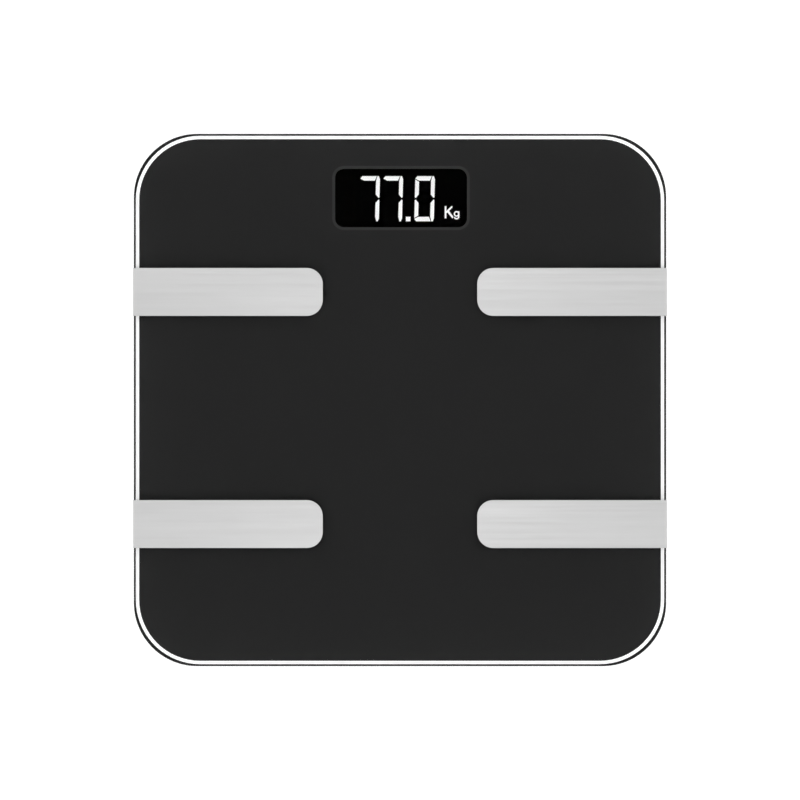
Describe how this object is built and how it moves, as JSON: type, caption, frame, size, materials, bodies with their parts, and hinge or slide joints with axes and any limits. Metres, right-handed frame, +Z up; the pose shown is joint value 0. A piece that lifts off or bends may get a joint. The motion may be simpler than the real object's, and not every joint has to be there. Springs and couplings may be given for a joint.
{
  "type": "digital bathroom scale",
  "caption": "Square glass digital body scale with steel electrode strips, a lit segment display, load-cell feet, a unit button and a hinged battery door underneath.",
  "frame": {"origin": "middle of the floor under the scale", "axes": "+Z up, +Y towards the display, +X right as the user reads the display"},
  "size_m": [0.2806, 0.28, 0.0253],
  "materials": {
    "glass": "polished",
    "black_print": "printed film",
    "white_print": "printed film",
    "grey_print": "printed film",
    "electrode_steel": "fine brushed",
    "foam": "closed-cell foam",
    "gasket_rubber": "matte",
    "reflector_plastic": "moulded",
    "lit_diffuser": "backlit diffuser",
    "dark_diffuser": "smoked diffuser",
    "led_resin": "clear resin",
    "tinned_pins": "tinned",
    "circuit_board": "solder mask",
    "chip_plastic": "moulded",
    "component_body": "fired",
    "crystal_can": "drawn can",
    "copper": "etched track",
    "connector_plastic": "moulded",
    "plunger_plastic": "moulded",
    "screw_steel": "zinc plated",
    "shell_plastic": "fine moulded texture",
    "button_plastic": "satin moulded",
    "door_plastic": "fine moulded texture",
    "battery_wrap": "printed sleeve, plain",
    "contact_steel": "nickel plated",
    "gauge_steel": "nickel plated",
    "gauge_silicone": "potting silicone",
    "foot_plastic": "moulded",
    "foot_rubber": "matte",
    "cable_jacket": "smooth",
    "lead_jacket": "smooth",
    "power_lead_jacket": "smooth"
  },
  "bodies": {
    "platform": {"glass_platform": "glass", "backing_film": "black_print", "border_line": "white_print", "window_frame_print": "grey_print", "electrode_upper_left": "electrode_steel", "electrode_upper_right": "electrode_steel", "electrode_lower_left": "electrode_steel", "electrode_lower_right": "electrode_steel", "bonding_tape": "foam", "display_gasket": "gasket_rubber", "display_housing": "reflector_plastic", "display_segments_lit": "lit_diffuser", "display_segments_unlit": "dark_diffuser", "unit_legend": "lit_diffuser", "display_leds": "led_resin", "display_pins": "tinned_pins", "main_board": "circuit_board", "controller_chip": "chip_plastic", "board_components": "component_body", "crystal": "crystal_can", "radio_antenna": "copper", "wire_connectors": "connector_plastic", "switch_body": "chip_plastic", "board_screws": "screw_steel", "base_shell": "shell_plastic", "battery_1": "battery_wrap", "battery_2": "battery_wrap", "battery_3": "battery_wrap", "battery_contact_positive": "contact_steel", "battery_contact_negative": "contact_steel", "battery_bridge_left": "contact_steel", "battery_bridge_right": "contact_steel", "battery_springs": "contact_steel", "load_cell_front_left": "gauge_steel", "load_cell_front_right": "gauge_steel", "load_cell_rear_left": "gauge_steel", "load_cell_rear_right": "gauge_steel", "strain_gauges": "gauge_silicone", "load_cell_cable_front_left": "cable_jacket", "load_cell_cable_front_right": "cable_jacket", "load_cell_cable_rear_left": "cable_jacket", "load_cell_cable_rear_right": "cable_jacket", "electrode_leads": "lead_jacket", "battery_leads": "power_lead_jacket"},
    "foot_front_left": {"foot_cup_front_left": "foot_plastic", "foot_pad_front_left": "foot_rubber"},
    "foot_front_right": {"foot_cup_front_right": "foot_plastic", "foot_pad_front_right": "foot_rubber"},
    "foot_rear_left": {"foot_cup_rear_left": "foot_plastic", "foot_pad_rear_left": "foot_rubber"},
    "foot_rear_right": {"foot_cup_rear_right": "foot_plastic", "foot_pad_rear_right": "foot_rubber"},
    "door": {"battery_door": "door_plastic", "door_foam": "foam"},
    "button": {"unit_button": "button_plastic"},
    "plunger": {"switch_plunger": "plunger_plastic"}
  },
  "joints": [
    {"name": "foot_front_left_press", "type": "slide", "parent": "platform", "child": "foot_front_left", "axis": [0, 0, 1], "range_m": [-0.0002, 0]},
    {"name": "foot_front_right_press", "type": "slide", "parent": "platform", "child": "foot_front_right", "axis": [0, 0, 1], "range_m": [-0.0002, 0]},
    {"name": "foot_rear_left_press", "type": "slide", "parent": "platform", "child": "foot_rear_left", "axis": [0, 0, 1], "range_m": [-0.0002, 0]},
    {"name": "foot_rear_right_press", "type": "slide", "parent": "platform", "child": "foot_rear_right", "axis": [0, 0, 1], "range_m": [-0.0002, 0]},
    {"name": "door_hinge", "type": "hinge", "parent": "platform", "child": "door", "pos_m": [0, 0.04695, 0.006], "axis": [1, 0, 0], "range_deg": [0, 95]},
    {"name": "button_press", "type": "slide", "parent": "platform", "child": "button", "axis": [0, 0, 1], "range_m": [0, 0.0005], "stiffness_N_per_m": 5000},
    {"name": "plunger_press", "type": "slide", "parent": "platform", "child": "plunger", "axis": [0, 0, 1], "range_m": [0, 0.0005]}
  ],
  "couplings": [
    {"joint": "plunger_press", "follows": "button_press", "ratio": 1}
  ]
}
